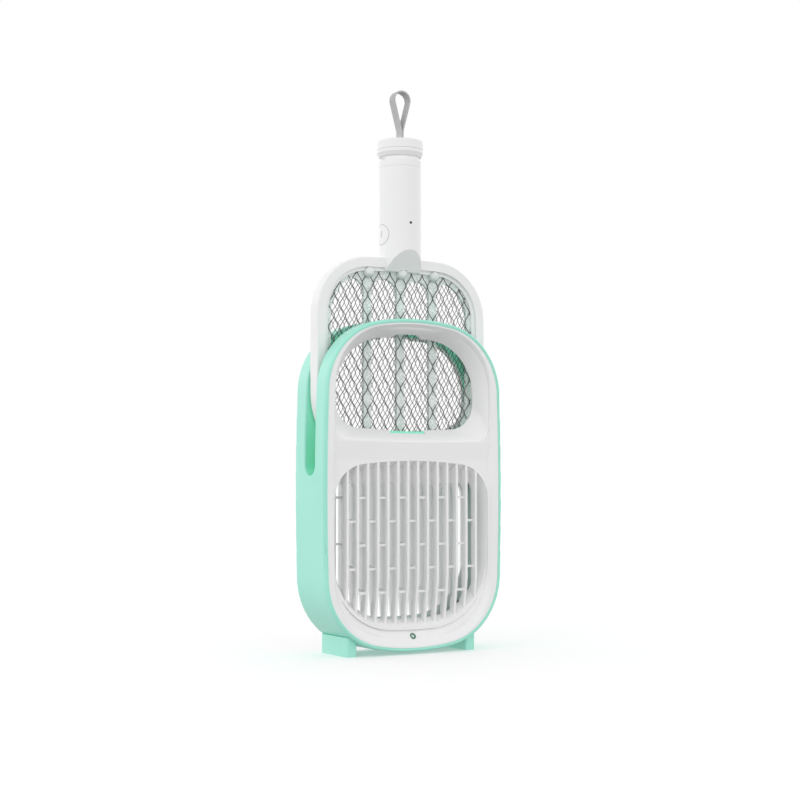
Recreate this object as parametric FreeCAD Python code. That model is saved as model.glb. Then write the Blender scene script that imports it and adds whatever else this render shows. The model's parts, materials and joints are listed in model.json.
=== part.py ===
"""Electric swatter of racket form, standing handle up in its see-through charging dock.

Frame: millimetres, +Z up, the front faces -Y.  The origin lies on the floor, under the
handle's axis.  The dock is alike front and rear, so its rear pieces are mirrored front ones.
"""
import FreeCAD, Part
import math
import os
from collections import namedtuple

V = FreeCAD.Vector

# A rounded outline in the XZ plane: crowned sides and ends, joined by tangent corner arcs.
Form = namedtuple("Form", "half_width low high low_radius high_radius side_crown low_crown high_crown")

# ---- Driving dimensions: dock -------------------------------------------------------------
DOCK = Form(87.8, 1.9, 283.5, 61.0, 61.0, 2100.0, 210.0, 210.0)
DOCK_HALF_DEPTH = 27.0
DOCK_EDGE_RADIUS = 2.6
SHELL_WALL = 2.4
LIP_WIDTH = 3.2                     # shell's front lip, from its side to the bezel
LIP_STEP = 1.9                      # from the side to the step in the lip
LIP_STEP_DEEP = 0.5
BEZEL_GAP = 0.1
BEZEL_FACE = -26.1                  # the bezel's rim, just behind the shell's lip
BEZEL_WALL = 2.0
RIM_TURN = 2.1                      # width of the bezel's flange inside the shell
MOUTH_SIDE = 9.0                    # from the dock's outline to the dish, at the sides
MOUTH_END = 4.6                     # the same at the top and the bottom
DISH_LOW = 13.0
MOUTH_RADIUS = 52.0
DISH_FLOOR = -22.5                  # crossbar's face and the fins' front edges
SLOT_HALF = 9.2                     # half the gap that the racket stands in
SLOT_TIP = 150.2
SLOT_EDGE_RADIUS = 1.4
LINER_WALL = 2.2
WINDOW = Form(68.2, 189.3, 267.8, 23.0, 47.0, 1500.0, 700.0, 700.0)
WINDOW_NOTCH_RADIUS = 21.5
WINDOW_NOTCH_TOP = 273.8
LIP_NOTCH_HALF = 17.3
LIP_NOTCH_LOW = 184.9
CROSSBAR_RIDGE = 178.5
CROSSBAR_RISE = 1.6                 # how far the ridge stands ahead of the dish's floor
CROSSBAR_RADIUS = 12.0
CROSSBAR_CROWN = 1500.0
BOWL_STEPS = 8                      # bands that the window's dished surround is made of
GRILLE = Form(75.6, 22.0, 162.8, 57.0, 30.0, 2100.0, 400.0, 400.0)
THROAT = Form(71.4, 29.0, 157.2, 52.0, 26.0, 2100.0, 400.0, 400.0)
BAND_FRONT = -20.4                  # from here back the grille's opening narrows to its throat
BAND_LAND = 0.3                     # what the band shows of itself inside the bezel's opening
FIN_COUNT = 14
FIN_PITCH = 9.75
FIN_THICK = 2.0
FIN_BACK = -15.6                    # rear edges of the front fins
FIN_DEEP_BACK = -11.9               # the same near the fins' ends, and all along the rear fins
FIN_DEEP_LOW = 43.0
FIN_DEEP_HIGH = 143.7
FLANGE_LOW = 40.0                   # the band's side flanges reach out to the shell from here up
FLANGE_GAP = 0.6
FIN_STEP_HIGH = 5.0                 # height that a fin's rear edge takes to change its depth
FIN_KNEE = 63.0                     # below it the fins' front edges lean back
FIN_FOOT_FACE = -16.5
REAR_FIN_SHIFT = -3.5               # the rear fins are staggered against the front ones
WEB_THICK = 1.2                     # wall behind the upper ends of the fins
TIE_TOP = 131.6
TIE_STEP = 19.85
TIE_ROWS = 5
TIE_HIGH = 2.0
TIE_DEEP = 2.6
FOOT_IN = 53.5
FOOT_OUT = 63.0
FOOT_FRONT = -21.0
FOOT_REAR = 25.2
FOOT_HIGH = 16.0
FOOT_CORNER_RADIUS = 2.0
FOOT_SCREW_Y = 15.0
FOOT_SCREW_RADIUS = 1.3
BOARD_LOW = 12.2
BOARD_THICK = 1.6
BOARD_TOP = BOARD_LOW + BOARD_THICK
BOARD_HALF = 30.0
BOARD_FRONT = -15.0
BOARD_REAR = 16.5
PIN_X = 8.0                         # the two charging pins stand at either side of the axis
PIN_RADIUS = 1.5
CONTACT_BOARD_TOP = 146.0
CONTACT_BOARD_HALF = 15.0
CONTACT_POST_X = 12.5
FLOOR_LOW = 18.2                    # insect chamber's floor, above the board
FLOOR_THICK = 1.6
FLOOR_HALF_DEPTH = 11.8
LEAD_RADIUS = 1.5
LEAD_BEND = 12.0
INLET_HALF = 4.5                    # a USB-C socket's shell
INLET_HIGH = 3.2
INLET_WALL = 0.4
INLET_FRONT = 14.0
INLET_REAR = 21.4
INDICATOR_CENTRE = V(0, -21.6, 14.9)
INDICATOR_AXIS = V(0, -0.814, 0.581)
INDICATOR_RADIUS = 2.8
INDICATOR_LENS_RADIUS = 1.55
BEYOND = 20.0                       # how far a cutting solid overshoots what it cuts

# ---- Driving dimensions: racket -----------------------------------------------------------
HEAD = Form(83.8, 153.8, 337.6, 66.0, 49.4, 2500.0, 900.0, 900.0)
HEAD_FRONT = -5.5
HEAD_REAR = 7.5
HEAD_SEAM = (HEAD_FRONT + HEAD_REAR) / 2
HEAD_WALL = 1.8
HEAD_EDGE_RADIUS = 1.6
RING_FACE = 8.6                     # width of the ring's front face
RING_WIDTH = 11.8                   # with the sunk ledge inside it
LEDGE_SINK = 2.5
SHEET_THICK = 0.7
SUPPORT_THICK = 1.4
SUPPORT_MARGIN = 3.8
BAY_TOP = 319.0                     # crest of the round-topped openings between the ribs
RIB_PITCH = 32.6
RIB_WIDE = 7.2
DIAMOND_WIDE = RIB_PITCH / 3
DIAMOND_HIGH = 19.9
STRAND = 0.9
LAMP_HIGH = 324.0
LAMP_RADIUS = 4.3
HANDLE_RADIUS = 18.4
HANDLE_WALL = 2.2
HANDLE_LOW = 326.0
HANDLE_TOP = 416.6
FACET_TOP = 344.0
COLLAR_TOP = 422.5
NECK_RADIUS = 17.2
NECK_TOP = 427.5
SLEEVE_RADIUS = 16.1
SLEEVE_BORE = 14.6
CAP_RADIUS = 20.1
CAP_LOW = 425.8
CAP_LINE = 432.2
CAP_TOP = 440.4
SEAM = 0.1
BUTTON_HIGH = 357.5
BUTTON_RADIUS = 8.55
LED_HIGH = 367.2
LED_RADIUS = 1.2
STRAP_WIDE = 8.2
STRAP_THICK = 1.3
STRAP_JOIN = 449.5                  # height where its two legs part
STRAP_LOOP_RADIUS = 7.7
STRAP_LOOP_CENTRE = 476.4
STRAP_BEND = 12.0                   # radius of each leg's bend just above the cap
STRAP_ROOT = CAP_TOP - 4.0
SCREW_SPOTS = [(79.4, 250.0), (66.2, 320.0), (61.4, 176.2)]
SCREW_HEAD_RADIUS = 2.1
SCREW_RADIUS = 1.1
CELL_X = 4.8                        # a standard 18650 cell, behind the circuit card
CELL_RADIUS = 9.25
CELL_LOW = 352.0
CELL_HIGH = 417.0
CARD_BACK = -8.1
CARD_THICK = 1.4
CARD_HALF = 11.0
CARD_TOP = 404.0


# ---- Outlines -----------------------------------------------------------------------------
def inset(form, distance):
    """The same outline, moved inward by a distance (outward where it is negative)."""
    return Form(form.half_width - distance, form.low + distance, form.high - distance,
                form.low_radius - distance, form.high_radius - distance,
                form.side_crown - distance, form.low_crown - distance,
                form.high_crown - distance)


def between(first, second, share):
    """The outline that lies a share of the way from one form to another."""
    return Form(*(a + (b - a) * share for a, b in zip(first, second)))


def corner(form, end, radius, crown, middle):
    """A corner arc's points: where it leaves the side, halfway, and where it meets the end."""
    high = abs(end - middle)
    side = V(form.half_width - form.side_crown, 0, 0)
    cap = V(0, high - crown, 0)
    to_side = form.side_crown - radius
    to_cap = crown - radius
    apart = (cap - side).Length
    along = (to_side ** 2 - to_cap ** 2 + apart ** 2) / (2 * apart)
    across = math.sqrt(to_side ** 2 - along ** 2)
    unit = (cap - side) / apart
    centre = side + unit * along + V(-unit.y, unit.x, 0) * across
    on_side = side + (centre - side) / to_side * form.side_crown
    on_cap = cap + (centre - cap) / to_cap * crown
    halfway = ((on_side + on_cap) * 0.5 - centre).normalize()
    sign = 1 if end > middle else -1
    points = (on_side, centre + halfway * radius, on_cap)
    return [V(p.x, 0, middle + sign * p.y) for p in points]


def mirrored(point):
    return V(-point.x, point.y, point.z)


def outline(form, y=0.0):
    """Closed wire of eight tangent arcs at depth y."""
    middle = (form.low + form.low_radius + form.high - form.high_radius) / 2
    up = corner(form, form.high, form.high_radius, form.high_crown, middle)
    down = corner(form, form.low, form.low_radius, form.low_crown, middle)
    right = V(form.half_width, 0, middle)
    arcs = [
        (down[0], right, up[0]),
        (up[0], up[1], up[2]),
        (up[2], V(0, 0, form.high), mirrored(up[2])),
        (mirrored(up[2]), mirrored(up[1]), mirrored(up[0])),
        (mirrored(up[0]), mirrored(right), mirrored(down[0])),
        (mirrored(down[0]), mirrored(down[1]), mirrored(down[2])),
        (mirrored(down[2]), V(0, 0, form.low), down[2]),
        (down[2], down[1], down[0]),
    ]
    shift = V(0, y, 0)
    edges = [Part.Arc(a + shift, b + shift, c + shift).toShape() for a, b, c in arcs]
    return Part.Wire(edges)


def prism(form, front, rear):
    """Solid with a form's outline, from depth front to depth rear."""
    return Part.Face(outline(form, front)).extrude(V(0, rear - front, 0))


def loft(stages):
    """Solid with straight sides from each (form, depth) stage to the next."""
    return Part.makeLoft([outline(form, y) for form, y in stages], True, True)


# ---- Small solids -------------------------------------------------------------------------
def block(low, high):
    return Part.makeBox(high[0] - low[0], high[1] - low[1], high[2] - low[2], V(*low))


def rod(radius, start, end):
    start = V(*start)
    along = V(*end) - start
    return Part.makeCylinder(radius, along.Length, start, along)


def tube(outer, inner, low, high):
    """Upright tube round the handle's axis."""
    return rod(outer, (0, 0, low), (0, 0, high)).cut(rod(inner, (0, 0, low - 1), (0, 0, high + 1)))


def revolve(points):
    """Solid of revolution round the Z axis, from (radius, height) points."""
    wire = Part.makePolygon([V(r, 0, z) for r, z in points + points[:1]])
    return Part.Face(wire).revolve(V(0, 0, 0), V(0, 0, 1), 360)


def fuse(shapes):
    first = shapes[0]
    return first.fuse(shapes[1:]).removeSplitter() if len(shapes) > 1 else first


def rim_edges(shape, cutter, core):
    """Edges that a cutter's surface leaves on the outside of a shape, clear of its core."""
    skin = cutter.Shells[0]
    found = []
    for edge in shape.Edges:
        points = edge.discretize(5)
        on_cutter = all(skin.distToShape(Part.Vertex(p))[0] < 0.02 for p in points)
        if on_cutter and not any(core.isInside(p, 0.01, False) for p in points):
            found.append(edge)
    return found


def to_rear(shape):
    """A front piece's twin on the rear of the dock."""
    return shape.mirror(V(0, 0, 0), V(0, 1, 0))


def on_both_sides(shape):
    """A piece and its twin across the handle's axis, as one group."""
    return Part.Compound([shape, shape.mirror(V(0, 0, 0), V(1, 0, 0))])


def write(name, shape):
    bad = not shape.isValid() or shape.Volume <= 0
    print(name, len(shape.Solids), "solids", round(shape.Volume), "mm3", "BAD" if bad else "")
    shape.exportStep("parts/" + name + ".step")


# ---- Dock ---------------------------------------------------------------------------------
def foot_screw_spots():
    middle = (FOOT_IN + FOOT_OUT) / 2
    return [(x, y) for x in (-middle, middle) for y in (-FOOT_SCREW_Y, FOOT_SCREW_Y)]


def slot_space(half, tip):
    """Space of the racket's slot, with a round bottom and no top."""
    centre = tip + half
    length = DOCK.half_width + BEYOND
    hollow = rod(half, (-length, 0, centre), (length, 0, centre))
    return hollow.fuse(block((-length, -half, centre), (length, half, DOCK.high + BEYOND)))


def foot(side):
    """Foot bar under one side, its top shaped to the shell's underside."""
    low_x, high_x = sorted((side * FOOT_IN, side * FOOT_OUT))
    bar = block((low_x, FOOT_FRONT, 0), (high_x, FOOT_REAR, FOOT_HIGH))
    upright = [e for e in bar.Edges if abs(e.tangentAt(e.FirstParameter).z) > 0.9]
    bar = bar.makeFillet(FOOT_CORNER_RADIUS, upright)
    for x, y in foot_screw_spots():
        bar = bar.cut(rod(FOOT_SCREW_RADIUS * 2, (x, y, -1), (x, y, 3.2)))
        bar = bar.cut(rod(FOOT_SCREW_RADIUS, (x, y, -1), (x, y, FOOT_HIGH + 1)))
    return bar.cut(prism(DOCK, -DOCK_HALF_DEPTH, DOCK_HALF_DEPTH))


def foot_screws():
    """Four screws up through the feet into the shell."""
    screws = []
    for x, y in foot_screw_spots():
        head = rod(2.4, (x, y, 1.2), (x, y, 3.1))
        cross = block((x - 1.3, y - 0.3, 0.5), (x + 1.3, y + 0.3, 2.0))
        cross = cross.fuse(block((x - 0.3, y - 1.3, 0.5), (x + 0.3, y + 1.3, 2.0)))
        screws.append(head.cut(cross).fuse(rod(1.25, (x, y, 3.1), (x, y, 19.5))))
    return Part.Compound(screws)


def dock_shell():
    """Ring-shaped body, open front and rear, with the racket's slot cut down to its middle."""
    body = prism(DOCK, -DOCK_HALF_DEPTH, DOCK_HALF_DEPTH)
    rims = [e for e in body.Edges if abs(abs(e.CenterOfMass.y) - DOCK_HALF_DEPTH) < 0.01]
    body = body.makeFillet(DOCK_EDGE_RADIUS, rims)
    inner = DOCK_HALF_DEPTH - DOCK_EDGE_RADIUS
    body = body.cut(prism(inset(DOCK, SHELL_WALL), -inner, inner))
    body = body.cut(prism(inset(DOCK, LIP_WIDTH), -DOCK_HALF_DEPTH - 1, DOCK_HALF_DEPTH + 1))
    step = prism(inset(DOCK, LIP_STEP), -DOCK_HALF_DEPTH - 1, LIP_STEP_DEEP - DOCK_HALF_DEPTH)
    body = body.cut(step).cut(to_rear(step))
    inside = prism(inset(DOCK, 1.0), -BEYOND, BEYOND)
    posts = [rod(3.0, (x, y, 4), (x, y, BOARD_LOW)) for x in (-25, 25) for y in (-10, 10)]
    posts += [rod(3.0, (x, y, 8), (x, y, 21)) for x, y in foot_screw_spots()]
    body = body.fuse([post.common(inside) for post in posts])
    for x, y in foot_screw_spots():
        body = body.cut(rod(FOOT_SCREW_RADIUS, (x, y, -1), (x, y, 19.6)))
    slot = slot_space(SLOT_HALF, SLOT_TIP)
    body = body.cut(slot)
    core = prism(inset(DOCK, SHELL_WALL / 2), -DOCK_HALF_DEPTH, DOCK_HALF_DEPTH)
    return body.makeFillet(SLOT_EDGE_RADIUS, rim_edges(body, slot, core))


def slot_liner(skin):
    """Two inner walls and the round floor of the racket's pocket, cut back behind the bezels."""
    outer = slot_space(SLOT_HALF + LINER_WALL, SLOT_TIP - LINER_WALL)
    half = SLOT_HALF + LINER_WALL
    liner = prism(inset(DOCK, SHELL_WALL), -half, half).common(outer)
    for x in (-CONTACT_POST_X, CONTACT_POST_X):
        liner = liner.fuse(rod(2.0, (x, 0, CONTACT_BOARD_TOP), (x, 0, SLOT_TIP)))
    liner = liner.cut(slot_space(SLOT_HALF, SLOT_TIP))
    for x in (-PIN_X, PIN_X):
        liner = liner.cut(rod(PIN_RADIUS, (x, 0, SLOT_TIP - 5), (x, 0, SLOT_TIP + 5)))
    liner = liner.cut(prism(inset(WINDOW, -1.2), -half - 1, half + 1))
    liner = liner.cut(rod(WINDOW_NOTCH_RADIUS + 1.2, *notch_axis(-half - 1, half + 1)))
    hidden = skin.cut(lip_notch())
    return liner.cut(hidden).cut(to_rear(hidden))


def notch_axis(front, rear):
    """Ends of the axis that the window's round top notch is cut about."""
    high = WINDOW_NOTCH_TOP - WINDOW_NOTCH_RADIUS
    return (0, front, high), (0, rear, high)


def bar_of(side_on, half):
    """Bar along X from -half to half, whose section is given as (y, z) corners."""
    wire = Part.makePolygon([V(-half, y, z) for y, z in side_on + side_on[:1]])
    return Part.Face(wire).extrude(V(2 * half, 0, 0))


def lip_notch():
    """Shallow notch in the middle of the window's lower lip."""
    return block((-LIP_NOTCH_HALF, -14, LIP_NOTCH_LOW), (LIP_NOTCH_HALF, -8, 195))


def dish(grow):
    """Space in front of the bezel's skin, grown by the skin's wall where asked."""
    ends = inset(DOCK, MOUTH_END)
    mouth = ends._replace(half_width=DOCK.half_width - MOUTH_SIDE, low_radius=MOUTH_RADIUS,
                          high_radius=MOUTH_RADIUS)
    deep = inset(mouth, 2.5)._replace(low=DISH_LOW)
    ahead = BEZEL_FACE - 2.0
    recess = loft([(inset(mouth, -grow), ahead), (inset(mouth, -grow), BEZEL_FACE + grow * 0.4),
                   (inset(deep, -grow), DISH_FLOOR + grow)])
    low = GRILLE.high + 0.5
    ridge = CROSSBAR_RIDGE - grow
    floor = DISH_FLOOR + grow
    side_on = [(floor, low), (floor - CROSSBAR_RISE, ridge),
               (floor - CROSSBAR_RISE, ridge + 2 * CROSSBAR_RADIUS),
               (floor, ridge + 2 * CROSSBAR_RADIUS)]
    recess = recess.cut(bar_of(side_on, DOCK.half_width))
    brow = deep._replace(low=CROSSBAR_RIDGE, low_radius=CROSSBAR_RADIUS, low_crown=CROSSBAR_CROWN)
    slot_face = -SLOT_HALF + 0.4
    stages = [(inset(brow, -grow), DISH_FLOOR - 2.0 + grow)]
    for step in range(BOWL_STEPS + 1):
        share = step / BOWL_STEPS
        y = DISH_FLOOR + (slot_face - DISH_FLOOR) * share ** 1.4
        stages.append((inset(between(brow, WINDOW, share), -grow), y + grow))
    bowl = loft(stages)
    sill = GRILLE._replace(low=13.6, low_radius=60.0)
    pan = loft([(inset(sill, -grow), DISH_FLOOR - 2.0 + grow),
                (inset(sill, -grow), DISH_FLOOR + grow),
                (inset(GRILLE, -grow), FIN_FOOT_FACE + grow)])
    return fuse([recess, bowl, pan])


def along_indicator(radius, back, ahead):
    """Round bar on the indicator's tilted axis."""
    start = INDICATOR_CENTRE - INDICATOR_AXIS * back
    return Part.makeCylinder(radius, back + ahead, start, INDICATOR_AXIS)


def bezel(skin, liner):
    """White front: a light rim, a dished surround, the window's reveal and the grille's frame."""
    outer = prism(inset(DOCK, LIP_WIDTH + BEZEL_GAP), BEZEL_FACE, -SLOT_HALF)
    rim = prism(inset(DOCK, LIP_WIDTH + BEZEL_GAP), BEZEL_FACE, -20.0)
    rim = rim.cut(prism(inset(DOCK, LIP_WIDTH + BEZEL_GAP + RIM_TURN), BEZEL_FACE + BEZEL_WALL, -19))
    shape = fuse([rim, skin.common(outer)]).cut(dish(0.0))
    shape = shape.cut(prism(GRILLE, -28, -8))
    shape = shape.cut(rod(WINDOW_NOTCH_RADIUS, *notch_axis(-15.0, -8.0)))
    return shape.cut(lip_notch()).cut(liner)


def fin_plate(back):
    """One upright fin's side face, with its rear edge at depth back between its ends."""
    top = GRILLE.high + 5.0
    bottom = GRILLE.low - 4.0
    side = [(DISH_FLOOR, top), (DISH_FLOOR, FIN_KNEE), (FIN_FOOT_FACE, bottom),
            (FIN_DEEP_BACK, bottom)]
    if back < FIN_DEEP_BACK:
        side += [(FIN_DEEP_BACK, FIN_DEEP_LOW), (back, FIN_DEEP_LOW + FIN_STEP_HIGH),
                 (back, FIN_DEEP_HIGH - FIN_STEP_HIGH), (FIN_DEEP_BACK, FIN_DEEP_HIGH)]
    side.append((FIN_DEEP_BACK, top))
    wire = Part.makePolygon([V(0, y, z) for y, z in side + side[:1]])
    return Part.Face(wire).extrude(V(FIN_THICK, 0, 0))


def grille(surround, shift, back):
    """Upright fins in a narrowing band, tied by staggered bars and closed behind at the top."""
    plate = fin_plate(back)
    first = shift - FIN_PITCH * (FIN_COUNT - 1) / 2
    pieces = []
    for index in range(FIN_COUNT):
        pieces.append(plate.translated(V(first + index * FIN_PITCH - FIN_THICK / 2, 0, 0)))
    tie_front = DISH_FLOOR + 3.0
    for row in range(TIE_ROWS):
        z = TIE_TOP - row * TIE_STEP
        for gap in range(1 - row % 2, FIN_COUNT - 1, 2):
            x = first + gap * FIN_PITCH
            pieces.append(block((x, tie_front, z - TIE_HIGH / 2),
                                (x + FIN_PITCH, tie_front + TIE_DEEP, z + TIE_HIGH / 2)))
    half = GRILLE.half_width
    pieces.append(block((-half, FIN_DEEP_BACK - WEB_THICK, FIN_DEEP_HIGH),
                        (half, FIN_DEEP_BACK, GRILLE.high)))
    inside = prism(inset(GRILLE, -0.5), DISH_FLOOR, FIN_DEEP_BACK)
    fins = pieces[0].fuse(pieces[1:]).common(inside)
    band = prism(inset(GRILLE, -BEZEL_WALL), BAND_FRONT, FIN_DEEP_BACK)
    mouth = inset(GRILLE, BAND_LAND)
    band = band.cut(loft([(mouth, BAND_FRONT - 1.0), (mouth, BAND_FRONT),
                          (THROAT, FIN_DEEP_BACK), (THROAT, FIN_DEEP_BACK + 1.0)]))
    flange = prism(inset(DOCK, SHELL_WALL + FLANGE_GAP), FIN_DEEP_BACK - WEB_THICK, FIN_DEEP_BACK)
    flange = flange.cut(prism(inset(THROAT, -FLANGE_GAP), BAND_FRONT, 0))
    wide = DOCK.half_width
    flange = flange.common(block((-wide, BAND_FRONT, FLANGE_LOW), (wide, 0, FIN_DEEP_HIGH)))
    return fins.fuse([band, flange]).cut(surround).removeSplitter()


def usb_inlet():
    """Charging socket on the rear edge of the dock's board: a metal shell round a tongue."""
    low = BOARD_TOP
    inner = INLET_HALF - INLET_WALL
    can = block((-INLET_HALF, INLET_FRONT, low), (INLET_HALF, INLET_REAR, low + INLET_HIGH))
    can = can.cut(block((-inner, INLET_FRONT + 1, low + INLET_WALL),
                        (inner, INLET_REAR + 1, low + INLET_HIGH - INLET_WALL)))
    middle = low + INLET_HIGH / 2
    tongue = block((-3.3, INLET_FRONT + 0.5, middle - 0.35), (3.3, INLET_REAR - 0.8, middle + 0.35))
    return can.fuse(tongue)


def bent_path(points, radius):
    """Straight runs in the plane Y = 0, joined by tangent arcs."""
    edges = []
    here = points[0]
    for before, turn, after in zip(points, points[1:], points[2:]):
        back = (before - turn).normalize()
        ahead = (after - turn).normalize()
        half = back.getAngle(ahead) / 2
        reach = radius / math.tan(half)
        centre = turn + (back + ahead).normalize() * (radius / math.sin(half))
        crest = centre + (turn - centre).normalize() * radius
        edges.append(Part.LineSegment(here, turn + back * reach).toShape())
        edges.append(Part.Arc(turn + back * reach, crest, turn + ahead * reach).toShape())
        here = turn + ahead * reach
    edges.append(Part.LineSegment(here, points[-1]).toShape())
    return Part.Wire(edges)


def inner_lead():
    """Lead from the slot's contacts down the inside of the shell to the dock's board."""
    high = CONTACT_BOARD_TOP - 0.6
    points = [V(-CONTACT_BOARD_HALF, 0, high), V(-79, 0, high), V(-79, 0, 66), V(-50, 0, 22),
              V(-BOARD_HALF - 0.8, 0, BOARD_LOW + 0.8)]
    ring = Part.Wire(Part.makeCircle(LEAD_RADIUS, points[0], V(1, 0, 0)))
    return bent_path(points, LEAD_BEND).makePipeShell([ring], True, False)


def chamber_floor():
    """Floor of the insect chamber, notched where the lead passes."""
    top = FLOOR_LOW + FLOOR_THICK
    half = DOCK.half_width
    slab = block((-half, -BEYOND, FLOOR_LOW), (half, BEYOND, top))
    floor = prism(inset(DOCK, SHELL_WALL), -FLOOR_HALF_DEPTH, FLOOR_HALF_DEPTH).common(slab)
    return floor.cut(block((-51, -2, FLOOR_LOW - 1), (-35, 2, top + 1)))


def charge_pins():
    """Two pins that stand through the slot's floor to the racket's pads."""
    top = HEAD.low - 0.4
    return Part.Compound([rod(PIN_RADIUS, (x, 0, CONTACT_BOARD_TOP), (x, 0, top))
                          for x in (-PIN_X, PIN_X)])


def make_dock():
    skin = dish(BEZEL_WALL)
    liner = slot_liner(skin)
    white = bezel(skin, liner)
    inlet_room = block((-INLET_HALF - 0.1, 10.0, BOARD_TOP - 0.1),
                       (INLET_HALF + 0.1, 25.0, BOARD_TOP + INLET_HIGH + 0.1))
    ring = along_indicator(INDICATOR_RADIUS, 2.0, 0.1)
    ring = ring.cut(along_indicator(INDICATOR_LENS_RADIUS + 0.05, 4.0, 4.0))
    write("dock_shell", dock_shell())
    write("slot_liner", liner)
    write("front_bezel", white.cut(along_indicator(INDICATOR_RADIUS + 0.05, 4.0, 4.0)))
    write("rear_bezel", to_rear(white).cut(inlet_room))
    write("front_grille", grille(white, 0.0, FIN_BACK))
    write("rear_grille", to_rear(grille(white, REAR_FIN_SHIFT, FIN_DEEP_BACK)))
    write("foot_left", foot(-1))
    write("foot_right", foot(1))
    write("foot_screws", foot_screws())
    write("indicator_ring", ring)
    write("indicator_lens", along_indicator(INDICATOR_LENS_RADIUS, 2.0, -0.3))
    write("dock_board", block((-BOARD_HALF, BOARD_FRONT, BOARD_LOW), (BOARD_HALF, BOARD_REAR, BOARD_TOP)))
    write("usb_inlet", usb_inlet())
    write("chamber_floor", chamber_floor())
    write("charge_pins", charge_pins())
    half = CONTACT_BOARD_HALF
    write("contact_board", block((-half, -5, CONTACT_BOARD_TOP - 1.2), (half, 5, CONTACT_BOARD_TOP)))
    write("inner_lead", inner_lead())


# ---- Racket -------------------------------------------------------------------------------
def screw_places():
    """Screw centres round the ring: three on each side and one at the bottom."""
    sides = [(side * x, z) for x, z in SCREW_SPOTS for side in (-1, 1)]
    return sides + [(0.0, HEAD.low + 4.4)]


def handle_outside():
    """Round shaft whose lower end is planed off towards the ring, front and rear."""
    shaft = rod(HANDLE_RADIUS, (0, 0, HANDLE_LOW), (0, 0, HANDLE_TOP))
    for face, side in ((HEAD_FRONT, -1), (HEAD_REAR, 1)):
        far = side * 40.0
        skin = side * HANDLE_RADIUS
        slope = (FACET_TOP - HANDLE_LOW) / (skin - face)
        corners = [V(-30, face, HANDLE_LOW - 2), V(-30, face, HANDLE_LOW),
                   V(-30, far, HANDLE_LOW + slope * (far - face)), V(-30, far, HANDLE_LOW - 2)]
        wedge = Part.Face(Part.makePolygon(corners + corners[:1])).extrude(V(60, 0, 0))
        shaft = shaft.cut(wedge)
    return shaft


def racket_body():
    """Ring and handle as one hollow form, before it is split into its two shells."""
    ring = prism(HEAD, HEAD_FRONT, HEAD_REAR)
    rims = [e for e in ring.Edges if min(abs(e.CenterOfMass.y - HEAD_FRONT),
                                         abs(e.CenterOfMass.y - HEAD_REAR)) < 0.01]
    ring = ring.makeFillet(HEAD_EDGE_RADIUS, rims)
    ring = ring.cut(prism(inset(HEAD, RING_WIDTH), HEAD_FRONT - 1, HEAD_REAR + 1))
    ledge = inset(HEAD, RING_FACE)
    ring = ring.cut(prism(ledge, HEAD_FRONT - 1, HEAD_FRONT + LEDGE_SINK))
    ring = ring.cut(prism(ledge, HEAD_REAR - LEDGE_SINK, HEAD_REAR + 1))
    body = ring.fuse(handle_outside()).removeSplitter()
    channel = prism(inset(HEAD, HEAD_WALL), HEAD_FRONT + HEAD_WALL, HEAD_REAR - HEAD_WALL)
    channel = channel.cut(prism(inset(HEAD, RING_FACE - HEAD_WALL), HEAD_FRONT, HEAD_REAR))
    bosses = [rod(2.9, (x, HEAD_FRONT, z), (x, HEAD_REAR, z)) for x, z in screw_places()]
    channel = channel.cut(Part.Compound(bosses))
    body = body.cut(channel)
    bore = HANDLE_RADIUS - HANDLE_WALL
    body = body.cut(rod(bore, (0, 0, FACET_TOP), (0, 0, HANDLE_TOP + 1)))
    body = body.cut(rod(BUTTON_RADIUS + 0.15, (-30, 0, BUTTON_HIGH), (-12, 0, BUTTON_HIGH)))
    body = body.cut(rod(LED_RADIUS + 0.05, (0, -30, LED_HIGH), (0, -12, LED_HIGH)))
    for x, z in screw_places():
        body = body.cut(rod(SCREW_RADIUS + 0.05, (x, HEAD_FRONT + 2, z), (x, HEAD_REAR + 1, z)))
        body = body.cut(rod(SCREW_HEAD_RADIUS + 0.1, (x, HEAD_REAR - 1.8, z), (x, HEAD_REAR + 1, z)))
    for x in (-RIB_PITCH, 0, RIB_PITCH):
        body = body.cut(rod(LAMP_RADIUS + 0.05, (x, HEAD_FRONT - 1, LAMP_HIGH),
                            (x, HEAD_SEAM - 2.8, LAMP_HIGH)))
    return body.cut(pads())


def pads():
    """Two charging pads on the ring's lower edge."""
    low = HEAD.low + 0.1
    pad = block((PIN_X - 2.5, -2.0, low), (PIN_X + 2.5, 4.0, low + 1.0))
    return on_both_sides(pad)


def racket_screws():
    """Cross-headed screws that hold the racket's two shells together, from the rear."""
    screws = []
    for x, z in screw_places():
        top = HEAD_REAR - 0.3
        head = rod(SCREW_HEAD_RADIUS, (x, top - 1.5, z), (x, top, z))
        cross = block((x - 1.2, top - 0.8, z - 0.25), (x + 1.2, top + 1, z + 0.25))
        cross = cross.fuse(block((x - 0.25, top - 0.8, z - 1.2), (x + 0.25, top + 1, z + 1.2)))
        shank = rod(SCREW_RADIUS, (x, HEAD_FRONT + 2.2, z), (x, top - 1.5, z))
        screws.append(head.cut(cross).fuse(shank))
    return Part.Compound(screws)


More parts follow.
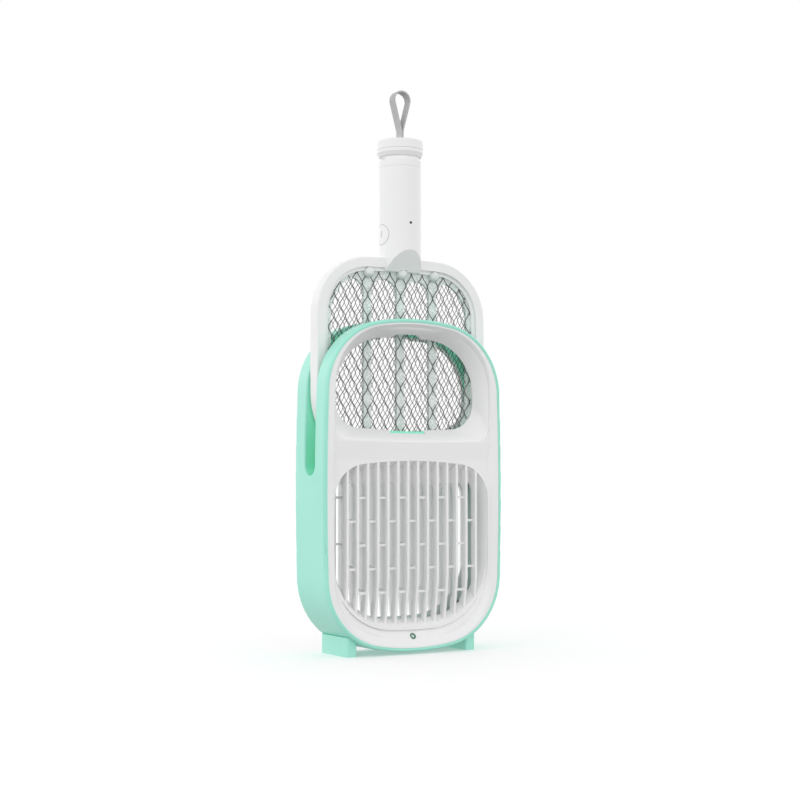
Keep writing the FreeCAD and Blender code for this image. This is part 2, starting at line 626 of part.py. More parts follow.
def diamond_sheet(front, phase):
    """Expanded sheet: rows of tall diamonds, every other row shifted by half a diamond."""
    field = inset(HEAD, RING_WIDTH + 0.1)
    face = outline(field, front)
    room = Part.Face(outline(inset(field, 1.0), front))
    holes = []
    wide = DIAMOND_WIDE / 2 - STRAND
    high = DIAMOND_HIGH / 2 - STRAND * DIAMOND_HIGH / DIAMOND_WIDE
    rows = int((field.high - field.low) / DIAMOND_HIGH * 2) + 2
    columns = int(field.half_width / DIAMOND_WIDE) + 2
    for row in range(rows):
        z = field.low + (row + phase) * DIAMOND_HIGH / 2
        for column in range(-columns, columns + 1):
            x = (column + 0.5 * (row % 2)) * DIAMOND_WIDE
            tips = [V(x, front, z - high), V(x + wide, front, z), V(x, front, z + high),
                    V(x - wide, front, z)]
            if all(room.isInside(tip, 0.01, True) for tip in tips):
                holes.append(Part.makePolygon(tips + tips[:1]))
    sheet = Part.makeFace([face] + holes, "Part::FaceMakerBullseye")
    return sheet.extrude(V(0, SHEET_THICK, 0))


def support(front):
    """Pale plastic panel with four tall round-topped openings between its ribs."""
    rear = front + SUPPORT_THICK
    panel = prism(inset(HEAD, RING_WIDTH), front, rear)
    field = prism(inset(HEAD, RING_WIDTH + SUPPORT_MARGIN), front - 1, rear + 1)
    radius = (RIB_PITCH - RIB_WIDE) / 2
    spring = BAY_TOP - radius
    for index in (-1.5, -0.5, 0.5, 1.5):
        x = index * RIB_PITCH
        low_x = x - radius
        high_x = x + radius
        arch = rod(radius, (x, front - 1, spring), (x, rear + 1, spring))
        bay = arch.fuse(block((low_x, front - 1, HEAD.low), (high_x, rear + 1, spring)))
        if abs(index) > 1:
            side = math.copysign(radius, index)
            beyond = sorted((x, x + side * 3))
            bay = bay.fuse(block((beyond[0], front - 1, HEAD.low), (beyond[1], rear + 1, spring)))
        panel = panel.cut(bay.common(field))
    return panel


def lamp_lens(x):
    """Round-nosed lens on the ring's ledge."""
    back = HEAD_SEAM - 2.8
    barrel = rod(LAMP_RADIUS, (x, back, LAMP_HIGH), (x, HEAD_FRONT + 1.2, LAMP_HIGH))
    nose = Part.makeSphere(LAMP_RADIUS + 0.2, V(x, HEAD_FRONT + 2.0, LAMP_HIGH))
    reach = HEAD_FRONT - 6
    nose = nose.common(rod(LAMP_RADIUS, (x, reach, LAMP_HIGH), (x, HEAD_FRONT + 1.2, LAMP_HIGH)))
    return barrel.fuse(nose)


def power_button():
    """Round button, its face rounded like the shaft, on a short stem."""
    face = rod(BUTTON_RADIUS, (-30, 0, BUTTON_HIGH), (-14, 0, BUTTON_HIGH))
    face = face.common(rod(HANDLE_RADIUS + 0.15, (0, 0, 340), (0, 0, 380)))
    face = face.cut(rod(HANDLE_RADIUS - 1.6, (0, 0, 340), (0, 0, 380)))
    stem = rod(2.0, (-17.6, 0, BUTTON_HIGH), (-12.9, 0, BUTTON_HIGH))
    return face.fuse(stem)


def strap_side(offset):
    """Right half of the strap's line, moved outward by offset, from its foot to its crest."""
    leg = STRAP_THICK / 2 + SEAM
    rise = STRAP_LOOP_CENTRE - STRAP_JOIN
    span = math.hypot(rise, leg)
    lean = math.asin(STRAP_LOOP_RADIUS / span) - math.atan2(leg, rise)
    reach = STRAP_BEND * math.tan(lean / 2)
    hub = V(leg + STRAP_BEND, 0, STRAP_JOIN - reach)
    inner = STRAP_BEND - offset
    turn_end = hub + V(-math.cos(lean), 0, math.sin(lean)) * inner
    turn_mid = hub + V(-math.cos(lean / 2), 0, math.sin(lean / 2)) * inner
    outer = STRAP_LOOP_RADIUS + offset
    centre = V(0, 0, STRAP_LOOP_CENTRE)
    touch = centre + V(math.cos(lean), 0, -math.sin(lean)) * outer
    foot_point = V(leg + offset, 0, STRAP_ROOT)
    turn_start = V(leg + offset, 0, hub.z)
    crest = centre + V(0, 0, outer)
    beside = centre + V(math.cos(math.pi / 5), 0, math.sin(math.pi / 5)) * outer
    return [Part.LineSegment(foot_point, turn_start).toShape(),
            Part.Arc(turn_start, turn_mid, turn_end).toShape(),
            Part.LineSegment(turn_end, touch).toShape(),
            Part.Arc(touch, beside, crest).toShape()]


def strap():
    """Flat strap in a standing teardrop loop; both of its ends go into the cap."""
    half = STRAP_THICK / 2
    outer = strap_side(half)
    inner = strap_side(-half)
    foot_edge = Part.LineSegment(inner[0].Vertexes[0].Point, outer[0].Vertexes[0].Point).toShape()
    crest_edge = Part.LineSegment(inner[-1].Vertexes[-1].Point, outer[-1].Vertexes[-1].Point).toShape()
    wire = Part.Wire(Part.__sortEdges__(outer + inner + [foot_edge, crest_edge]))
    side = Part.Face(wire).extrude(V(0, STRAP_WIDE, 0)).translated(V(0, -STRAP_WIDE / 2, 0))
    return side.fuse(side.mirror(V(0, 0, 0), V(1, 0, 0))).removeSplitter()


def lamp_board():
    """Curved strip inside the ring's top that carries the lamps."""
    strip = prism(inset(HEAD, 2.6), HEAD_SEAM - 0.6, HEAD_SEAM + 0.6)
    strip = strip.cut(prism(inset(HEAD, 6.2), HEAD_SEAM - 1, HEAD_SEAM + 1))
    reach = RIB_PITCH + 9.4
    return strip.common(block((-reach, -10, LAMP_HIGH + 1), (reach, 10, HEAD.high)))


def battery_cell():
    cell = rod(CELL_RADIUS, (CELL_X, 0, CELL_LOW), (CELL_X, 0, CELL_HIGH - 1.5))
    return cell.fuse(rod(3.2, (CELL_X, 0, CELL_HIGH - 1.5), (CELL_X, 0, CELL_HIGH)))


def neck_sleeve():
    """Sleeve in the handle's top with the neck that the cap turns on, and its alignment mark."""
    sleeve = tube(SLEEVE_RADIUS, SLEEVE_BORE, 404, COLLAR_TOP + 1)
    neck = tube(NECK_RADIUS, SLEEVE_BORE, COLLAR_TOP + SEAM, NECK_TOP)
    mark = block((-BEYOND, -3.2, COLLAR_TOP + 0.5), (1 - NECK_RADIUS, 3.2, COLLAR_TOP + 1.8))
    return sleeve.fuse(neck).removeSplitter().cut(mark)


def make_handle_electronics():
    """Circuit card along the handle and what it carries, beside the cell."""
    card_front = CARD_BACK - CARD_THICK
    write("handle_board", block((card_front, -CARD_HALF, FACET_TOP), (CARD_BACK, CARD_HALF, CARD_TOP)))
    write("step_up_transformer", block((CARD_BACK, -6.5, FACET_TOP), (4, 6.5, CELL_LOW - 0.2)))
    write("pulse_capacitor", rod(3.8, (8.6, -8, 347.8), (8.6, 8, 347.8)))
    write("tact_switch", block((card_front - 2, -3, BUTTON_HIGH - 3), (card_front, 3, BUTTON_HIGH + 3)))
    write("battery_cell", battery_cell())
    led_face = LED_RADIUS / 4 - HANDLE_RADIUS
    write("power_led", rod(LED_RADIUS, (0, led_face, LED_HIGH), (0, -14.0, LED_HIGH)))


def make_racket():
    body = racket_body()
    far = CAP_TOP
    seam = SEAM / 2
    write("racket_front_shell", body.common(block((-far, -far, 0), (far, -seam, far))))
    write("racket_rear_shell", body.common(block((-far, seam, 0), (far, far, far))))
    write("racket_screws", racket_screws())
    front = HEAD_SEAM - 0.4 - SUPPORT_THICK
    rear = HEAD_SEAM + 0.4
    write("front_support", support(front))
    write("rear_support", support(rear))
    write("front_mesh", diamond_sheet(front - SHEET_THICK, 0.0))
    write("center_mesh", diamond_sheet(HEAD_SEAM - SHEET_THICK / 2, 0.5))
    write("rear_mesh", diamond_sheet(rear + SUPPORT_THICK, 0.25))
    write("lamp_lenses", Part.Compound([lamp_lens(x) for x in (-RIB_PITCH, 0, RIB_PITCH)]))
    write("lamp_board", lamp_board())
    write("contact_pads", pads())
    make_handle_electronics()
    write("neck_sleeve", neck_sleeve())
    write("collar_ring", tube(HANDLE_RADIUS, SLEEVE_RADIUS, HANDLE_TOP + SEAM, COLLAR_TOP))
    write("power_button", power_button())


def end_cap():
    """Turned cap whose skirt turns on the neck, with a slit for the strap."""
    root = STRAP_ROOT
    skirt_bore = NECK_RADIUS + 0.3
    body = revolve([(0, root), (11.5, root), (11.5, 421.0), (14.3, 421.0),
                    (14.3, NECK_TOP + 0.4), (skirt_bore, NECK_TOP + 0.4), (skirt_bore, CAP_LOW),
                    (18.1, CAP_LOW), (CAP_RADIUS, 429.3), (CAP_RADIUS, CAP_LINE - 0.2),
                    (CAP_RADIUS - 0.5, CAP_LINE), (CAP_RADIUS, CAP_LINE + 0.2),
                    (CAP_RADIUS, CAP_TOP - 1.6), (CAP_RADIUS - 0.5, CAP_TOP - 0.5),
                    (CAP_RADIUS - 1.6, CAP_TOP), (0, CAP_TOP + 0.3)])
    half = STRAP_WIDE / 2 + 0.1
    return body.cut(block((-1.6, -half, root - 1), (1.6, half, CAP_TOP + 2)))


def cap_contact():
    """Round plate inside the cap with a ring that presses on the cell's end."""
    return revolve([(0, 419.6), (4.4, 419.6), (4.4, 417.2), (5.6, 417.2), (5.6, 419.6),
                    (13.4, 419.6), (13.4, 421.0), (0, 421.0)])


def make_end_cap():
    write("end_cap", end_cap())
    write("strap_anchor", block((-5, -6, STRAP_ROOT - 4), (5, 6, STRAP_ROOT)))
    write("cap_contact", cap_contact())
    write("wrist_strap", strap())


os.makedirs("parts", exist_ok=True)
make_dock()
make_racket()
make_end_cap()
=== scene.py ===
"""Looks of the electric swatter in its dock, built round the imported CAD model."""
import bpy
import json
import math
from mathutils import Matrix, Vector


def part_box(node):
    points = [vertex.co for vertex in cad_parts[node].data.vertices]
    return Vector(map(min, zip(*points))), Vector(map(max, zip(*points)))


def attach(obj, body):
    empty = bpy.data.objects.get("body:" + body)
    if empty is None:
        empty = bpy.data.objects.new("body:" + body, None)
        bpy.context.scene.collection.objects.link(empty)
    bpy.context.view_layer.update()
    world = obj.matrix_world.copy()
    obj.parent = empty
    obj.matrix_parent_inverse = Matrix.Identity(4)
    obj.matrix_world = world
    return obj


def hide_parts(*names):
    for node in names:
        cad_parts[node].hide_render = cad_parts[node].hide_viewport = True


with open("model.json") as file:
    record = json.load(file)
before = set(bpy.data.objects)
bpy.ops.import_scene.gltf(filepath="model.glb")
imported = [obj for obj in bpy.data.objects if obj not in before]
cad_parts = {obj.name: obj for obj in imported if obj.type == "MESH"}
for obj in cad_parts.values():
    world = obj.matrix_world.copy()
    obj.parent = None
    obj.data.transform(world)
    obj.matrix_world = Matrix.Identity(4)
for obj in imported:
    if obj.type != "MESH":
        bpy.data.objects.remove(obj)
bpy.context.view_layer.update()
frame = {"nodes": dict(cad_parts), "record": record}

MM = 0.001
BODY_OF = {node: body for body, nodes in frame["record"]["behaviour"]["bodies"].items()
           for node in nodes}


# ---- Camera, floor and light --------------------------------------------------------------
HORIZON_STRENGTH = 1.35             # of the surround at eye level; the next three add to it
ZENITH_DROP = -0.74
LEFT_BOOST = 0.06
REAR_BOOST = 0.05
GROUND_STRENGTH = 0.46
KEY_POWER = 0.9
FLOOR_GLOW = 0.16

CAMERA_AZIMUTH = math.radians(-30.48)
CAMERA_DISTANCE = 1.370
CAMERA_HEIGHT = 0.1475
CAMERA_PITCH = math.radians(2.84)
CAMERA_LENS = 71.5
SENSOR_WIDTH = 36.0

FLOOR_HALF = 60.0
WHITE = (1.0, 1.0, 1.0)
KEY_PLACE = (-0.95, -0.35, 1.15)
KEY_TARGET = (0, 0, 0.22)           # about the middle of the object
KEY_SIZE = 0.7


def make_camera():
    data = bpy.data.cameras.new("camera")
    data.lens = CAMERA_LENS
    data.sensor_width = SENSOR_WIDTH
    data.clip_start = 0.01
    camera = bpy.data.objects.new("camera", data)
    bpy.context.collection.objects.link(camera)
    side = math.sin(CAMERA_AZIMUTH)
    ahead = math.cos(CAMERA_AZIMUTH)
    camera.location = (CAMERA_DISTANCE * side, -CAMERA_DISTANCE * ahead, CAMERA_HEIGHT)
    look = Vector((-side, ahead, math.tan(CAMERA_PITCH)))
    camera.rotation_euler = look.to_track_quat("-Z", "Y").to_euler()
    bpy.context.scene.camera = camera


def make_key_light():
    """The one lamp: a soft disc high on the left and a little to the front."""
    data = bpy.data.lights.new("key", "AREA")
    data.shape = "DISK"
    data.size = KEY_SIZE
    data.energy = KEY_POWER
    data.color = WHITE
    lamp = bpy.data.objects.new("key", data)
    lamp.location = KEY_PLACE
    aim = Vector(KEY_TARGET) - Vector(KEY_PLACE)
    lamp.rotation_euler = aim.to_track_quat("-Z", "Y").to_euler()
    bpy.context.collection.objects.link(lamp)


def sky_share(tree, axis, start, end, low, high):
    """Strength that goes from low to high as one axis of the direction goes from start to end."""
    node = tree.nodes.new("ShaderNodeMapRange")
    node.interpolation_type = "SMOOTHSTEP"
    node.inputs["From Min"].default_value = start
    node.inputs["From Max"].default_value = end
    node.inputs["To Min"].default_value = low
    node.inputs["To Max"].default_value = high
    tree.links.new(axis, node.inputs["Value"])
    return node.outputs["Result"]


def make_sky():
    """White surround: a little brighter from the left and behind, dimmer from above and below.
    The camera itself sees it as plain white."""
    world = bpy.data.worlds.new("studio")
    world.use_nodes = True
    tree = world.node_tree
    place = tree.nodes.new("ShaderNodeTexCoord")
    axes = tree.nodes.new("ShaderNodeSeparateXYZ")
    tree.links.new(place.outputs["Generated"], axes.inputs["Vector"])
    total = sky_share(tree, axes.outputs["Z"], -0.3, 0.1, GROUND_STRENGTH, HORIZON_STRENGTH)
    for share in (sky_share(tree, axes.outputs["Z"], 0.2, 1.0, 0.0, ZENITH_DROP),
                  sky_share(tree, axes.outputs["X"], 0.0, -1.0, 0.0, LEFT_BOOST),
                  sky_share(tree, axes.outputs["Y"], 0.2, 1.0, 0.0, REAR_BOOST)):
        added = tree.nodes.new("ShaderNodeMath")
        tree.links.new(total, added.inputs[0])
        tree.links.new(share, added.inputs[1])
        total = added.outputs[0]
    ray = tree.nodes.new("ShaderNodeLightPath")
    seen = tree.nodes.new("ShaderNodeMix")
    seen.inputs["B"].default_value = 1.0
    tree.links.new(ray.outputs["Is Camera Ray"], seen.inputs["Factor"])
    tree.links.new(total, seen.inputs["A"])
    tree.links.new(seen.outputs["Result"], tree.nodes["Background"].inputs["Strength"])
    tree.nodes["Background"].inputs["Color"].default_value = (*WHITE, 1)
    return world


def make_studio():
    """A wide pale floor under a white surround, with one soft light. The floor takes no part in
    diffuse bounces, so it adds no soft light from below; glossy faces still reflect it."""
    mesh = bpy.data.meshes.new("floor")
    corners = [(-FLOOR_HALF, -FLOOR_HALF, 0), (FLOOR_HALF, -FLOOR_HALF, 0),
               (FLOOR_HALF, FLOOR_HALF, 0), (-FLOOR_HALF, FLOOR_HALF, 0)]
    mesh.from_pydata(corners, [], [(0, 1, 2, 3)])
    floor = bpy.data.objects.new("floor", mesh)
    bpy.context.collection.objects.link(floor)
    floor.data.materials.append(floor_material())
    floor.visible_diffuse = False
    bpy.context.scene.world = make_sky()
    make_key_light()
    bpy.context.scene.view_settings.view_transform = "Standard"
    bpy.context.scene.view_settings.look = "None"


# ---- Materials ----------------------------------------------------------------------------
METAL_STREAKS = 900.0               # cycles per metre
WEAVE_SCALE = 420.0


def start_material(name):
    material = bpy.data.materials.new(name)
    material.use_nodes = True
    tree = material.node_tree
    return material, tree, tree.nodes["Principled BSDF"]


def noise(tree, scale, detail=3.0):
    """Noise in the object's own space, scale in cycles per metre."""
    place = tree.nodes.new("ShaderNodeTexCoord")
    texture = tree.nodes.new("ShaderNodeTexNoise")
    texture.inputs["Scale"].default_value = scale
    texture.inputs["Detail"].default_value = detail
    tree.links.new(place.outputs["Object"], texture.inputs["Vector"])
    return texture.outputs["Fac"]


def ramp(tree, source, low, high, start=0.35, end=0.65):
    """Colour ramp from low to high over the part of the source between start and end."""
    node = tree.nodes.new("ShaderNodeValToRGB")
    node.color_ramp.elements[0].position = start
    node.color_ramp.elements[1].position = end
    node.color_ramp.elements[0].color = (*low, 1)
    node.color_ramp.elements[1].color = (*high, 1)
    tree.links.new(source, node.inputs["Fac"])
    return node.outputs["Color"]


def spread(tree, source, low, high):
    """Maps a 0 to 1 source onto low to high."""
    node = tree.nodes.new("ShaderNodeMapRange")
    node.inputs["To Min"].default_value = low
    node.inputs["To Max"].default_value = high
    tree.links.new(source, node.inputs["Value"])
    return node.outputs["Result"]


def bump(tree, shader, source, height):
    node = tree.nodes.new("ShaderNodeBump")
    node.inputs["Distance"].default_value = height
    node.inputs["Strength"].default_value = 1.0
    tree.links.new(source, node.inputs["Height"])
    tree.links.new(node.outputs["Normal"], shader.inputs["Normal"])


def linear(red, green, blue):
    """Linear colour from sRGB values of 0 to 255."""
    def channel(value):
        value /= 255.0
        return value / 12.92 if value <= 0.04045 else ((value + 0.055) / 1.055) ** 2.4
    return channel(red), channel(green), channel(blue)


def moulded(name, low, high, roughness, grain=0.00002, coat=0.0):
    """Moulded plastic: slow drift of tone, uneven sheen and the mould's fine spark texture."""
    material, tree, shader = start_material(name)
    tree.links.new(ramp(tree, noise(tree, 14.0), low, high), shader.inputs["Base Color"])
    sheen = spread(tree, noise(tree, 60.0), roughness - 0.04, roughness + 0.05)
    tree.links.new(sheen, shader.inputs["Roughness"])
    shader.inputs["Coat Weight"].default_value = coat
    shader.inputs["Coat Roughness"].default_value = 0.25
    bump(tree, shader, noise(tree, 2600.0, 2.0), grain)
    return material


def grained_with_painted_shadow(name, low, high, roughness):
    """Coarser moulded plastic with a spark-eroded face: fine speckle in height and roughness, and a
    speckle in tone that is painted shadow of the wire mesh.
    """
    material, tree, shader = start_material(name)
    grain = noise(tree, 820.0, 2.0)
    # Painted shadow: the darker flecks of this tone speckle stand in for the mesh strands' shadows
    # on the ribs.
    tree.links.new(ramp(tree, grain, low, high, 0.38, 0.62), shader.inputs["Base Color"])
    sheen = spread(tree, grain, roughness - 0.05, roughness + 0.08)
    tree.links.new(sheen, shader.inputs["Roughness"])
    bump(tree, shader, grain, 0.00006)
    return material


def metal(name, low, high, roughness):
    """Metal with a fine grain in tone, roughness and height."""
    material, tree, shader = start_material(name)
    streaks = noise(tree, METAL_STREAKS, 4.0)
    tree.links.new(ramp(tree, streaks, low, high), shader.inputs["Base Color"])
    sheen = spread(tree, streaks, roughness - 0.06, roughness + 0.08)
    tree.links.new(sheen, shader.inputs["Roughness"])
    shader.inputs["Metallic"].default_value = 1.0
    bump(tree, shader, streaks, 0.00002)
    return material


def floor_material():
    """Pale matte paper that glows slightly."""
    material, tree, shader = start_material("floor_paper")
    tone = ramp(tree, noise(tree, 3.0), (0.90, 0.90, 0.90), (0.92, 0.92, 0.92))
    tree.links.new(tone, shader.inputs["Base Color"])
    shader.inputs["Roughness"].default_value = 0.9
    shader.inputs["Emission Color"].default_value = (*WHITE, 1)
    shader.inputs["Emission Strength"].default_value = FLOOR_GLOW
    return material


def circuit_material():
    """Green solder mask with a faint grid of tracks under it."""
    material, tree, shader = start_material("circuit_board")
    place = tree.nodes.new("ShaderNodeTexCoord")
    tracks = tree.nodes.new("ShaderNodeTexBrick")
    tracks.inputs["Scale"].default_value = 260.0
    tracks.inputs["Mortar Size"].default_value = 0.035
    tracks.inputs["Color1"].default_value = (0.012, 0.10, 0.045, 1)
    tracks.inputs["Color2"].default_value = (0.014, 0.12, 0.055, 1)
    tracks.inputs["Mortar"].default_value = (0.05, 0.24, 0.10, 1)
    tree.links.new(place.outputs["Object"], tracks.inputs["Vector"])
    tree.links.new(tracks.outputs["Color"], shader.inputs["Base Color"])
    shader.inputs["Roughness"].default_value = 0.35
    bump(tree, shader, tracks.outputs["Fac"], 0.00003)
    return material


def webbing_material():
    """Grey woven band: a fine two-way weave in colour and height."""
    material, tree, shader = start_material("strap_webbing")
    place = tree.nodes.new("ShaderNodeTexCoord")
    both = tree.nodes.new("ShaderNodeMath")
    both.operation = "MULTIPLY"
    for factor, direction in zip(both.inputs, ("Z", "Y")):
        wave = tree.nodes.new("ShaderNodeTexWave")
        wave.bands_direction = direction
        wave.inputs["Scale"].default_value = WEAVE_SCALE
        wave.inputs["Distortion"].default_value = 0.6
        tree.links.new(place.outputs["Object"], wave.inputs["Vector"])
        tree.links.new(wave.outputs["Fac"], factor)
    tone = ramp(tree, both.outputs[0], linear(180, 180, 180), linear(206, 206, 206), 0.1, 0.9)
    tree.links.new(tone, shader.inputs["Base Color"])
    shader.inputs["Roughness"].default_value = 0.72
    shader.inputs["Sheen Weight"].default_value = 0.2
    bump(tree, shader, both.outputs[0], 0.00012)
    return material


def make_materials():
    return {
        "mint_plastic": moulded("mint_plastic", linear(164, 236, 217), linear(169, 239, 220), 0.34),
        # The liner's purer, brighter green is painted bounce light from the slot's green walls,
        # over its own mint plastic.
        "liner_mint_painted_bounce": moulded("liner_mint_painted_bounce", linear(150, 246, 212), linear(156, 249, 217),
                                 0.38),
        "white_plastic": moulded("white_plastic", linear(241, 241, 241), linear(244, 244, 244),
                                 0.34),
        # The support's speckle in tone is painted shadow of the wire mesh on the ribs.
        "pale_support": grained_with_painted_shadow("pale_support", linear(204, 214, 210), linear(242, 248, 246), 0.5),
        "lens_plastic": moulded("lens_plastic", linear(222, 228, 226), linear(230, 235, 233), 0.22,
                                0.00001, 0.4),
        "mesh_steel": metal("mesh_steel", (0.10, 0.10, 0.10), (0.17, 0.17, 0.17), 0.42),
        "screw_steel": metal("screw_steel", (0.45, 0.45, 0.46), (0.58, 0.58, 0.58), 0.3),
        "inlet_metal": metal("inlet_metal", (0.55, 0.55, 0.56), (0.68, 0.68, 0.68), 0.28),
        "contact_brass": metal("contact_brass", (0.72, 0.50, 0.20), (0.83, 0.61, 0.28), 0.25),
        "circuit_board": circuit_material(),
        "lead_sheath": moulded("lead_sheath", linear(214, 218, 216), linear(224, 227, 225), 0.55),
        "dark_plastic": moulded("dark_plastic", (0.010, 0.010, 0.011), (0.018, 0.018, 0.019), 0.45),
        "cell_wrap": moulded("cell_wrap", (0.02, 0.08, 0.17), (0.03, 0.10, 0.20), 0.3),
        "indicator_rim": moulded("indicator_rim", linear(60, 112, 92), linear(72, 124, 104), 0.3),
        "indicator_window": moulded("indicator_window", linear(196, 210, 205),
                                    linear(208, 220, 215), 0.25),
        # Grey for the printed zigzag, and for the painted shade line round the button's gap.
        "print_and_gap_shade_grey": moulded("print_and_gap_shade_grey", linear(176, 176, 176), linear(188, 188, 188), 0.5),
        "strap_silicone": webbing_material(),
    }


FINISH_OF_NODE = {"slot_liner": "liner_mint_painted_bounce"}     # mint like the shell, made purer and brighter green as painted bounce light from the slot's green walls


def dress_cad(materials):
    """Gives every CAD node the finished material of its slot, or its own where it has one."""
    slot_of = {part["node"]: part["material_slot"] for part in frame["record"]["subparts"]}
    for name, node in frame["nodes"].items():
        node.data.materials.clear()
        node.data.materials.append(materials[FINISH_OF_NODE.get(name, slot_of[name])])


# ---- Pieces -------------------------------------------------------------------------------
GRIP_RADIUS = 18.4 * MM             # of the round handle that the button sits in
BUTTON_RADIUS = 8.55 * MM
BUTTON_GAP = 0.15 * MM
BUTTON_PROUD = 0.15 * MM            # the button's face stands this far off the grip's
MARK_HALF = 0.25 * MM               # half the width of a stroke
MARK_ROOT = 0.25 * MM               # how far a mark goes down into the plastic
LINE_PROUD = 0.03 * MM              # how far the painted gap shade line stands off the grip
ZIGZAG_PROUD = 0.12 * MM            # clears the flat facets of the button's round face
STROKE_STEPS = 4                    # pieces in each stroke, so that it follows the round face
RING_STEPS = 96
# Across and up from the button's centre, in millimetres.
ZIGZAG = [(-0.9, 3.0), (1.0, 1.3), (-1.1, 0.2), (1.1, -0.9), (-0.8, -3.0)]


def add_print_and_shade_mark(name, mesh, body, materials):
    """A mark on the white plastic, slightly darker than it: print for the zigzag, painted shade for
    the line round the button's gap.
    """
    piece = bpy.data.objects.new(name, mesh)
    bpy.context.collection.objects.link(piece)
    piece.data.materials.append(materials["print_and_gap_shade_grey"])
    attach(piece, body)


def on_grip(across, up, centre, radius):
    """Point on a round skin of that radius about the grip's axis, on the button's side."""
    return Vector((-math.sqrt(radius ** 2 - across ** 2), across, centre + up))


def raised_line(name, rows, closed):
    """Solid line on the grip from its two edges, given as (across, up, centre, radius) points."""
    skins = []
    for sunk in (0.0, MARK_ROOT):
        for row in rows:
            skins.append([on_grip(across, up, centre, radius - sunk)
                          for across, up, centre, radius in row])
    order = [skins[0], skins[1], skins[3], skins[2]]
    count = len(order[0])
    faces = []
    for side in range(4):
        here = side * count
        there = (side + 1) % 4 * count
        for index in range(count if closed else count - 1):
            after = (index + 1) % count
            faces.append((here + index, here + after, there + after, there + index))
    if not closed:
        faces.append(tuple(side * count for side in range(4)))
        faces.append(tuple(side * count + count - 1 for side in (3, 2, 1, 0)))
    mesh = bpy.data.meshes.new(name)
    mesh.from_pydata([point for row in order for point in row], [], faces)
    mesh.validate()
    return mesh


def button_marks(materials):
    """Grey line laid over the gap round the power button as painted shade of the gap, and a plain
    zigzag on its face.
    """
    low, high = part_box("power_button")
    centre = (low.z + high.z) / 2
    turns = [2 * math.pi * step / RING_STEPS for step in range(RING_STEPS)]
    rows = [[(reach * math.cos(turn), reach * math.sin(turn), centre, GRIP_RADIUS + LINE_PROUD)
             for turn in turns]
            for reach in (BUTTON_RADIUS + BUTTON_GAP, BUTTON_RADIUS + 3 * BUTTON_GAP)]
    # Painted shade: a grey line standing in for the shadow in the gap round the button.
    add_print_and_shade_mark("button_gap_painted_shade", raised_line("button_gap_painted_shade", rows, True), "racket",
                materials)
    points = [Vector((across * MM, up * MM)) for across, up in ZIGZAG]
    face = GRIP_RADIUS + BUTTON_PROUD + ZIGZAG_PROUD
    edges = [[], []]
    for index, point in enumerate(points):
        before = points[max(index - 1, 0)]
        after = points[min(index + 1, len(points) - 1)]
        along = (after - before).normalized()
        stroke = (after - point if index == 0 else point - before).normalized()
        offset = Vector((-along.y, along.x)) * MARK_HALF / along.dot(stroke)
        edges[0].append(point - offset)
        edges[1].append(point + offset)
    rows = []
    for edge in edges:
        places = [start.lerp(end, step / STROKE_STEPS)
                  for start, end in zip(edge, edge[1:]) for step in range(STROKE_STEPS)]
        rows.append([(place.x, place.y, centre, face) for place in places + [edge[-1]]])
    add_print_and_shade_mark("button_zigzag", raised_line("button_zigzag", rows, False), "button", materials)


RIB_PITCH = 32.6 * MM
DIAMOND_WIDE = RIB_PITCH / 3
DIAMOND_HIGH = 19.9 * MM
FRONT_STRAND = 0.34 * MM            # half the width of a strand
INNER_STRAND = 0.26 * MM
STRAND_BEND = 0.5 * DIAMOND_WIDE / (4 * math.pi)     # strands run nearly upright where they meet
STRAND_STEPS = 400
POINT_STEP = 5                      # every fifth point of a strand is kept
SHORTEST_STRAND = 8                 # points; shorter ones at the corners are left out
WEAVE_DEPTH = 0.5                   # of a strand's half width, to each side of the layer
CENTER_SHIFT = -0.38 * DIAMOND_HIGH
REAR_SHIFT = 0.12 * DIAMOND_HIGH
LOW_CORNER = 54.1 * MM
HIGH_CORNER = 37.5 * MM


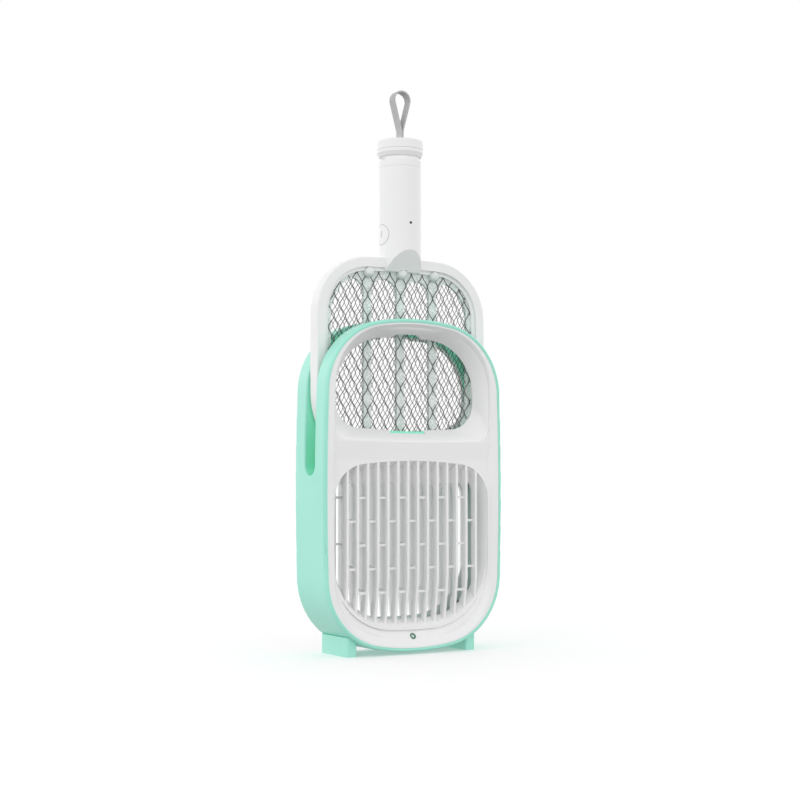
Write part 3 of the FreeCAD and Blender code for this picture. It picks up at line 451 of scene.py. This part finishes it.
def inside_head(x, z, low, high):
    """True inside the rounded opening that the mesh fills."""
    middle = (low.z + high.z) / 2
    radius = HIGH_CORNER if z > middle else LOW_CORNER
    over_x = abs(x) - (high.x - radius)
    over_z = max(low.z + radius - z, z - (high.z - radius))
    if abs(x) > high.x or z < low.z or z > high.z:
        return False
    return not (over_x > 0 and over_z > 0 and math.hypot(over_x, over_z) > radius)


def strand_line(start_x, lean, low, high, phase):
    """Points of one slanting strand inside the head, with the bends of expanded mesh."""
    kept = []
    for step in range(STRAND_STEPS + 1):
        z = low.z + (high.z - low.z) * step / STRAND_STEPS
        cells = (z - low.z - phase) / DIAMOND_HIGH
        bend = STRAND_BEND * math.sin(4 * math.pi * cells)
        x = start_x + lean * (DIAMOND_WIDE * cells - bend)
        if inside_head(x, z, low, high):
            kept.append((x, z))
    return kept


def mesh_layer(name, node, phase, strand, materials):
    """Expanded mesh: two families of slanting strands that weave a little where they cross."""
    low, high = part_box(node)
    depth = (low.y + high.y) / 2
    curve = bpy.data.curves.new(name, "CURVE")
    curve.dimensions = "3D"
    curve.bevel_depth = strand
    curve.bevel_resolution = 1
    count = int((high.x - low.x + (high.z - low.z)) / DIAMOND_WIDE) + 4
    for lean in (-1, 1):
        for index in range(-count, count + 1):
            line = strand_line(index * DIAMOND_WIDE, lean, low, high, phase)
            if len(line) < SHORTEST_STRAND:
                continue
            points = line[::POINT_STEP] + [line[-1]]
            spline = curve.splines.new("POLY")
            spline.points.add(len(points) - 1)
            for place, (x, z) in zip(spline.points, points):
                beat = math.cos(4 * math.pi * (z - low.z - phase) / DIAMOND_HIGH)
                place.co = (x, depth + lean * beat * strand * WEAVE_DEPTH, z, 1)
    piece = bpy.data.objects.new(name, curve)
    bpy.context.collection.objects.link(piece)
    curve.materials.append(materials["mesh_steel"])
    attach(piece, BODY_OF[node])
    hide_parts(node)


make_camera()
make_studio()
materials = make_materials()
dress_cad(materials)
mesh_layer("front_wire_mesh", "front_mesh", 0.0, FRONT_STRAND, materials)
mesh_layer("center_wire_mesh", "center_mesh", CENTER_SHIFT, INNER_STRAND, materials)
mesh_layer("rear_wire_mesh", "rear_mesh", REAR_SHIFT, INNER_STRAND, materials)
button_marks(materials)
